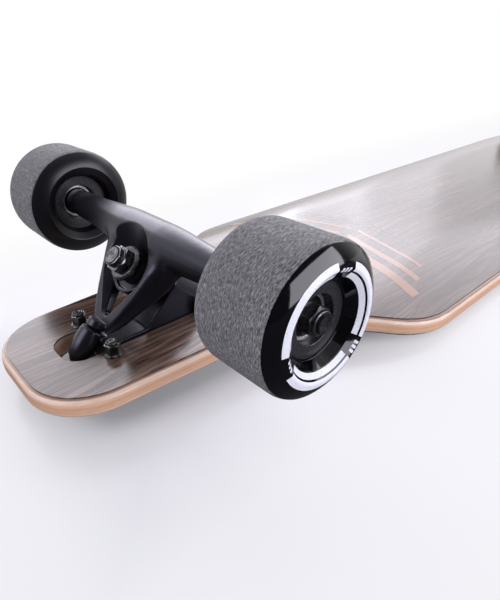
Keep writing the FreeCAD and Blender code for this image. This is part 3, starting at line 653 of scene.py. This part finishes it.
def print_mesh():
    """The face print: three broad arcs with a thin line in each, and three dots in each gap."""
    bands = ((20.9, 23.2), (24.0, 27.9))
    dot_low, dot_high = 23.4, 25.4
    arc_half, dot_half, dot_pitch = math.radians(48), math.radians(1.6), math.radians(5.2)
    points, faces = [], []

    def patch(inner, outer, middle, half):
        first = middle - half
        last = middle + half
        across = max(2, int((outer - inner) / 0.6) + 1)
        along = max(3, int((last - first) / math.radians(1.5)) + 1)
        start = len(points)
        for i in range(across + 1):
            r = inner + (outer - inner) * i / across
            for j in range(along + 1):
                a = first + (last - first) * j / along
                points.append((r * math.cos(a), r * math.sin(a), face_height(r) + INK_RISE))
        for i in range(across):
            for j in range(along):
                k = start + i * (along + 1) + j
                faces.append((k, k + along + 1, k + along + 2, k + 1))

    for n in range(3):
        middle = math.radians(135 + 120 * n)
        for inner, outer in bands:
            patch(inner, outer, middle, arc_half)
        gap = middle + math.radians(60)
        for k in (-1, 0, 1):
            patch(dot_low, dot_high, gap + dot_pitch * k, dot_half)
    return new_mesh("face_print", points, faces, ["white_ink"], None, 60)


def core_mesh():
    """The hub core, with a seat for a bearing at each end."""
    half = rounded_path([(CORE_BORE, BEARING_NEAR), (BEARING_RADIUS, BEARING_NEAR),
                         (BEARING_RADIUS, BEARING_FAR), (MOUTH_RADIUS, BEARING_FAR, 0.2),
                         (MOUTH_RADIUS, HUB_HALF, 0.6), (HUB_RADIUS, HUB_HALF)])
    return lathe("wheel_core", mirrored_path(half), ["core"])


def bearing_ring_mesh(name, inner, outer, bore_fillets, wall_fillet, segments):
    """A bearing ring with fillets at the near and far ends of its bore and of its outer wall."""
    near_fillet, far_fillet = bore_fillets
    section = [(inner, BEARING_NEAR, near_fillet), (outer, BEARING_NEAR, wall_fillet),
               (outer, BEARING_FAR, wall_fillet), (inner, BEARING_FAR, far_fillet)]
    return lathe(name, rounded_path(section, True), ["bright_steel"], segments)


def shield_mesh():
    """A bearing's shield, dished between its rims."""
    section = [(6.3, 11.0), (OUTER_RING_BORE, 11.0), (OUTER_RING_BORE, 11.6), (8.7, 11.68), (8.4, 11.5),
               (6.7, 11.5), (6.3, 11.6)]
    return lathe("bearing_shield", section, ["shield"], 72)


def axle_washer_mesh():
    """A plain washer lying on z = 0."""
    inner, outer, thickness = 4.05, 6.0, 1.2
    section = [(inner, 0.0), (outer, 0.0, 0.2), (outer, thickness, 0.2), (inner, thickness)]
    return lathe("axle_washer", rounded_path(section, True, 3), ["worn_steel"], 64)


def build_wheels():
    """Each wheel with its bearings, and the washers, nut and axle end that hold it."""
    tyre, print_skin, core = tyre_mesh(), print_mesh(), core_mesh()
    outer = bearing_ring_mesh("bearing_outer_ring", OUTER_RING_BORE, BEARING_RADIUS,
                              bore_fillets=(0.0, 0.2), wall_fillet=0.35, segments=72)
    shield = shield_mesh()
    inner = bearing_ring_mesh("bearing_inner_ring", BEARING_BORE, INNER_RING_RADIUS,
                              bore_fillets=(0.3, 0.3), wall_fillet=0.3, segments=64)
    washer = axle_washer_mesh()
    nut = nut_mesh("axle_nut", flats=12.7, height=5.2, bore=3.9, collar=11.4, collar_height=1.8,
                   materials=("dark_steel", "nylon"))
    end = thread_mesh("axle_end", radius=3.9, pitch=1.0, length=8.2, material="turned_steel")
    # The rear truck is the front one half a turn round, so its hands are exchanged
    for side, hand, rear_hand in ((-1, "right", "left"), (1, "left", "right")):
        outward = STILL if side > 0 else FLIP
        middle = AXLE @ moved(0, 0, WHEEL_Y * side) @ outward
        for prefix, turn in TRUCKS:
            wheel = prefix + "_" + (hand if prefix == "front" else rear_hand)
            hanger = prefix + "_hanger"
            body = wheel + "_wheel"
            at = turn @ middle
            add_piece(wheel + "_tyre_skin", tyre, at, body, [wheel + "_tyre"])
            add_piece(wheel + "_face_print", print_skin, at, body, [])
            add_piece(wheel + "_core_skin", core, at, body, [wheel + "_core"])
            for n, way in enumerate((STILL, FLIP)):
                tag = "_%d" % n
                here = at @ way
                add_piece(wheel + "_outer_ring" + tag, outer, here, body,
                          [wheel + "_bearing_outer_rings"])
                add_piece(wheel + "_shield" + tag, shield, here, body,
                          [wheel + "_bearing_shields"])
                add_piece(wheel + "_inner_ring" + tag, inner, here, hanger,
                          [prefix + "_bearing_inner_rings"])
            near = at @ moved(0, 0, HANGER_END - WHEEL_Y)
            far = at @ moved(0, 0, BEARING_END - WHEEL_Y)
            seat = at @ moved(0, 0, NUT_START - WHEEL_Y)
            washers = [prefix + "_axle_washers"]
            add_piece(wheel + "_inside_washer", washer, near, hanger, washers)
            add_piece(wheel + "_outside_washer", washer, far, hanger, washers)
            add_piece(wheel + "_axle_nut", nut, seat, hanger, [prefix + "_axle_nuts"])
            add_piece(wheel + "_axle_end", end, seat @ moved(0, 0, 0.1), hanger, [])


# Trucks, with seats as heights along the kingpin

KINGPIN_NUT_SEAT = 7.0
BOARDSIDE_WASHER_SEAT = -21.6
WASHER_BORE, WASHER_THICKNESS, WASHER_LIP = 4.8, 1.6, 1.2
BUSHING_BORE, BUSHING_WAIST = 5.05, 1.1
JOINT_ROUNDS = 160


def cup_washer_mesh(name, outer):
    """A cupped washer lying on z = 0 with its lip upwards."""
    top = WASHER_THICKNESS + WASHER_LIP
    wall = outer - 0.8
    section = [(WASHER_BORE, 0.0, 0.2), (outer - 1.3, 0.0, 0.7), (outer, 1.3, 0.9), (outer, top, 0.35),
               (wall, top, 0.35), (wall, WASHER_THICKNESS, 0.5), (WASHER_BORE, WASHER_THICKNESS, 0.2)]
    return lathe(name, rounded_path(section, True, 4), ["dark_steel"], 80)


def bushing_mesh(name, radius, height):
    """A urethane bushing standing on z = 0 with a bulged rim at each end."""
    shoulder = radius - BUSHING_WAIST * 0.3
    wall = [(radius - 0.5, 0.0), (radius, 0.5), (shoulder, height * 0.2),
            (radius - BUSHING_WAIST, height * 0.5), (shoulder, height * 0.8), (radius, height - 0.5),
            (radius - 0.5, height)]
    fine = []
    for a, b in zip(wall[:-1], wall[1:]):
        fine += [(a[0] + (b[0] - a[0]) * k / 3, a[1] + (b[1] - a[1]) * k / 3) for k in range(3)]
    fine.append(wall[-1])
    rows = 10
    bore_side = [(BUSHING_BORE, height - height * k / rows) for k in range(rows + 1)]
    return lathe(name, fine + bore_side, ["bushing"], 72, None, 50)


def add_bushing(prefix, turn, label, radius, low, height):
    """A bushing set about the kingpin with its transform baked in, standing for the part's own bushing
    node.
    """
    piece = put(prefix + "_" + label + "_skin", bushing_mesh(prefix + label, radius, height))
    piece.matrix_world = turn @ KINGPIN @ moved(0, 0, low)
    bpy.context.view_layer.update()
    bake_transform(piece)
    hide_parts(prefix + "_" + label)


def build_trucks():
    """Castings, kingpin nuts and ends, cupped washers and bushings."""
    hanger = cast_mesh("front_hanger", voxel=0.5)
    melt(hanger, beam_joint, JOINT_ROUNDS)
    plate = cast_mesh("front_baseplate", voxel=0.55)
    on_both_trucks("hanger_skin", hanger, STILL, "hanger", ["hanger"])
    on_both_trucks("baseplate_skin", plate, STILL, "deck", ["baseplate"])
    seat = KINGPIN @ moved(0, 0, KINGPIN_NUT_SEAT)
    nut = nut_mesh("kingpin_nut", flats=14.3, height=5.0, bore=4.8, collar=12.0, collar_height=3.4,
                   materials=("worn_steel", "nylon"))
    on_both_trucks("kingpin_nut_skin", nut, seat, "deck", ["kingpin_nut"])
    end = thread_mesh("kingpin_end", radius=4.7, pitch=1.06, length=8.7, material="worn_steel", segments=64)
    on_both_trucks("kingpin_end", end, seat, "deck", [])
    road = cup_washer_mesh("roadside_washer", outer=10.8)
    on_both_trucks("roadside_washer_skin", road, seat @ FLIP, "deck", ["roadside_washer"])
    board = cup_washer_mesh("boardside_washer", outer=13.0)
    on_both_trucks("boardside_washer_skin", board, KINGPIN @ moved(0, 0, BOARDSIDE_WASHER_SEAT), "deck",
                   ["boardside_washer"])
    for prefix, turn in TRUCKS:
        add_bushing(prefix, turn, "roadside_bushing", radius=9.5, low=-2.5, height=7.9)
        add_bushing(prefix, turn, "boardside_bushing", radius=12.0, low=-20.0, height=13.0)


# Fasteners


def bolt_head_mesh():
    """A domed bolt head on z = 0 with a hexagon socket."""
    segments = 60

    def socket(a):
        return hex_radius(3.0, a)

    rows = [(BOLT_RADIUS, 0.0), (4.55, 0.0), (4.75, 0.25), (4.75, 1.3), (4.4, 2.1), (3.6, 2.7),
            (2.6, 2.98), (1.9, 3.0), (socket, 2.95), (socket, 1.0)]
    points, faces = [], []
    for radius, z in rows:
        points += ring(segments, radius, z)
    last = len(points) - segments
    for lower in range(0, last, segments):
        faces += bridge(lower, lower + segments, segments)
    return new_mesh("bolt_head", points, faces + end_caps(last, segments), ["black_steel"], None, 34)


def build_fasteners():
    """Four mounting bolts and lock nuts on each truck, each nut at its own angle."""
    finish = "black_steel"
    nut = nut_mesh("mounting_nut", flats=8.0, height=5.6, bore=2.55, collar=7.0, collar_height=1.7,
                   flange=10.6, flange_height=1.2)
    tip = thread_mesh("mounting_bolt_tip", radius=2.45, pitch=0.8, length=9.15, material=finish)
    head = bolt_head_mesh()
    shank_top = 0.2
    section = [(BOLT_RADIUS, FLANGE_BOTTOM), (BOLT_RADIUS, shank_top), (0.0, shank_top),
               (0.0, FLANGE_BOTTOM)]
    shank = lathe("mounting_bolt_shank", section, [finish], 40)
    corners = [(x, y) for x in BOLT_X for y in (-BOLT_Y, BOLT_Y)]
    for n, (x, y) in enumerate(corners):
        tag = "_%d" % n
        turn = rotated(11 + 23 * n, "Z")
        at = TRUCK @ moved(x, y, 0)
        below = at @ moved(0, 0, FLANGE_BOTTOM) @ FLIP @ turn
        on_both_trucks("mounting_nut" + tag, nut, at @ turn, "deck", ["mounting_nuts"])
        on_both_trucks("mounting_tip" + tag, tip, at @ turn, "deck", ["mounting_bolts"])
        on_both_trucks("mounting_shank" + tag, shank, at, "deck", [])
        on_both_trucks("mounting_head" + tag, head, below, "deck", [])


# Deck

PRINT_LEAN = -0.32
PRINT_GAP = 4.0


def deck_height(y):
    """Height of the veneer's face at a distance from the middle line."""
    aside = max(abs(y) - FLAT_HALF, 0.0)
    return FACE - (CONCAVE_RADIUS - math.sqrt(CONCAVE_RADIUS**2 - aside**2))


def add_deck_print(name, strips, material):
    """Strips (first x, width, reach aside) printed on both sides of the middle line, leaning back."""
    points, faces = [], []
    for x, width, reach in strips:
        for side in (-1, 1):
            y0, y1 = side * PRINT_GAP, side * reach
            along = max(2, int(abs(y1 - y0) / 2.0))
            start = len(points)
            for j in range(along + 1):
                y = y0 + (y1 - y0) * j / along
                shift = PRINT_LEAN * abs(y)
                for edge in (x, x + width):
                    points.append((edge + shift, y, deck_height(y) + INK_RISE))
            for j in range(along):
                k = start + 2 * j
                faces.append((k, k + 1, k + 3, k + 2))
    mesh = new_mesh(name, points, faces, [material], None, 60)
    add_piece(name, mesh, STILL, "deck", [])


def build_deck():
    """Prints on the veneer: three chevrons that narrow, and two thin lines."""
    chevrons = [(-262.0 + 17.0 * n, width, 96.0 - 9.0 * n) for n, width in enumerate((9.0, 6.0, 3.5))]
    lines = [(x, 1.6, 66.0) for x in (-214.0, -207.0)]
    add_deck_print("deck_chevrons", chevrons, "tan_ink")
    add_deck_print("deck_lines", lines, "brown_ink")


def repaint(node, key):
    """Gives one of the part's own nodes a material."""
    slots = NODES[node].data.materials
    slots.clear()
    slots.append(MATERIALS[key])


def repaint_nodes():
    """Materials for the part's own nodes that stay in view."""
    for node, key in (("deck_core", "maple"), ("bottom_veneer", "walnut"), ("grip_tape", "grip")):
        repaint(node, key)
    for prefix, _ in TRUCKS:
        repaint(prefix + "_pivot_cup", "bushing")
        for name in ("_kingpin", "_axle", "_bearing_spacers"):
            repaint(prefix + name, "worn_steel")


# Floor, light and camera, in metres

# From the photographer's side to the white backdrop behind the board
BACKWARDS = (0.5, 0.84, 0.2)
FLOOR_REACH = 6.0
BOARD_MIDDLE = (-0.25, 0.0, 0.0)
LAMP_COLOUR = (0.93, 0.91, 1.0)

# Place, target, width, height and watts
SOFTBOXES = {
    "back_softbox": ((0.42, 2.34, 1.38), BOARD_MIDDLE, 3.1, 1.55, 60),
    "corner_softbox": ((1.61, 1.58, 1.34), BOARD_MIDDLE, 0.66, 1.7, 6.5),
    "wide_softbox": ((1.73, 1.42, 1.34), BOARD_MIDDLE, 1.12, 1.7, 6.5),
    "right_softbox": ((2.0, 0.44, 1.6), BOARD_MIDDLE, 2.26, 1.4, 32),
    "low_softbox": ((2.2, 1.3, 0.5), BOARD_MIDDLE, 2.4, 0.65, 3.4),
    "left_softbox": ((-1.8, 0.3, 0.9), (-0.43, 0.0, 0.05), 1.2, 1.0, 15),
    "side_softbox": ((0.2, -1.43, 0.5), (-0.43, -0.13, 0.07), 1.7, 0.85, 24),
    "top_softbox": ((-0.3, -0.2, 2.0), (-0.3, 0.0, 0.0), 2.0, 2.0, 5),
}

CAMERA_PLACE = (-0.55859, -0.22685, 0.17613)
CAMERA_AZIMUTH, CAMERA_ELEVATION, CAMERA_ROLL = -42.15, 29.68, -0.84
CAMERA_LENS, CAMERA_SENSOR = 28.21, 36.0


def build_stage():
    """A pale floor that turns white away from the board; reflections show it dim on the near side."""
    mesh = bpy.data.meshes.new("floor")
    corners = [(FLOOR_REACH * x, FLOOR_REACH * y, 0) for x, y in ((-1, -1), (1, -1), (1, 1), (-1, 1))]
    mesh.from_pydata(corners, [], [(0, 1, 2, 3)])
    floor = put("floor", mesh)
    p = Paint("floor_board")
    cloud = p.noise(1.5, 2)
    rays = p.node("LightPath").outputs
    mirrored = p.math("MAXIMUM", rays["Is Glossy Ray"], rays["Is Transmission Ray"])
    depth = p.node("VectorMath", {0: p.place(), 1: BACKWARDS}, operation="DOT_PRODUCT").outputs["Value"]
    behind = p.node("MapRange", {"Value": depth, "From Min": -0.25, "From Max": 0.1},
                    interpolation_type="SMOOTHSTEP").outputs[0]
    seen = p.math("MAXIMUM", rays["Is Camera Ray"], p.math("MULTIPLY", mirrored, behind))
    pale = p.mix(cloud, (0.72, 0.73, 0.745), (0.74, 0.75, 0.765))
    unseen = p.mix(mirrored, (0.5, 0.5, 0.51), (0.07, 0.07, 0.075))
    p.set(Base_Color=p.mix(seen, unseen, pale), Roughness=0.24,
          Specular_IOR_Level=p.math("MULTIPLY", seen, 0.3))
    # How far a spot lies from the board, from which the floor fades to white
    spot = p.node("SeparateXYZ", {0: p.place()}).outputs
    front = p.math("SUBTRACT", p.math("MULTIPLY", spot[1], -1.0), 0.06)
    rear = p.math("SUBTRACT", p.math("MULTIPLY", spot[1], 3.0), 0.25)
    ahead = p.math("SUBTRACT", p.math("ABSOLUTE", spot[0]), 0.47)
    away = p.math("MAXIMUM", p.math("MAXIMUM", front, rear), ahead)
    fade = p.ramp(away, (0.02, 0.15), (0.07, 0.65), (0.2, 0.9), (0.4, 1.0))
    white = p.ramp(away, (0.15, (0.92, 0.912, 0.95)), (0.6, (1.0, 1.0, 1.0)))
    glow = p.node("Emission", {"Color": white, "Strength": 1.0})
    both = p.node("MixShader", {0: p.math("MULTIPLY", seen, fade), 1: p.shader.outputs[0],
                                2: glow.outputs[0]})
    p.plug(p.tree.nodes["Material Output"].inputs[0], both.outputs[0])
    mesh.materials.append(p.material)


def build_world():
    """White for the camera; in reflections white behind the board and dim on the photographer's side."""
    world = bpy.data.worlds.new("studio")
    bpy.context.scene.world = world
    world.use_nodes = True
    n = Nodes(world.node_tree)
    rays = n.node("LightPath").outputs
    way = n.node("TexCoord").outputs["Generated"]
    facing = n.node("VectorMath", {0: way, 1: BACKWARDS}, operation="DOT_PRODUCT").outputs["Value"]
    behind = n.node("MapRange", {"Value": facing, "From Min": -0.1, "From Max": 0.5},
                    interpolation_type="SMOOTHSTEP").outputs[0]
    glossy = n.math("MAXIMUM", rays["Is Glossy Ray"], rays["Is Transmission Ray"])
    seen = n.math("MAXIMUM", rays["Is Camera Ray"], n.math("MULTIPLY", glossy, behind))
    strength = n.node("MapRange", {"Value": glossy, "To Min": 0.14, "To Max": 0.05}).outputs[0]
    dim = n.tree.nodes["Background"]
    n.plug(dim.inputs["Color"], (0.95, 0.96, 1.0))
    n.plug(dim.inputs["Strength"], strength)
    white = n.node("Background", {"Color": (1.0, 1.0, 1.0), "Strength": 1.0})
    mix = n.node("MixShader", {0: seen, 1: dim.outputs[0], 2: white.outputs[0]})
    n.plug(n.tree.nodes["World Output"].inputs[0], mix.outputs[0])


def build_lights():
    """Softboxes behind, beside and above the board, each facing its target."""
    for name, (place, target, width, height, watts) in SOFTBOXES.items():
        lamp = bpy.data.lights.new(name, "AREA")
        lamp.shape = "RECTANGLE"
        lamp.size, lamp.size_y = width, height
        lamp.energy = watts
        lamp.color = LAMP_COLOUR
        holder = put(name, lamp)
        holder.location = place
        holder.rotation_euler = (Vector(target) - Vector(place)).to_track_quat("-Z", "Y").to_euler()


def build_camera():
    """Stands where the photograph's camera stood."""
    lens = bpy.data.cameras.new("camera")
    lens.sensor_width = CAMERA_SENSOR
    lens.lens = CAMERA_LENS
    lens.clip_start = 0.01
    holder = put("camera", lens)
    azimuth, elevation = math.radians(CAMERA_AZIMUTH), math.radians(CAMERA_ELEVATION)
    flat = math.cos(elevation)
    back = Vector((math.sin(azimuth) * flat, -math.cos(azimuth) * flat, math.sin(elevation)))
    turn = (-back).to_track_quat("-Z", "Y").to_matrix().to_4x4()
    holder.matrix_world = Matrix.Translation(CAMERA_PLACE) @ turn @ rotated(CAMERA_ROLL, "Z")
    bpy.context.scene.camera = holder


build_wheels()
build_trucks()
build_fasteners()
build_deck()
repaint_nodes()
build_stage()
build_world()
build_lights()
build_camera()
bpy.context.scene.view_settings.view_transform = "Standard"
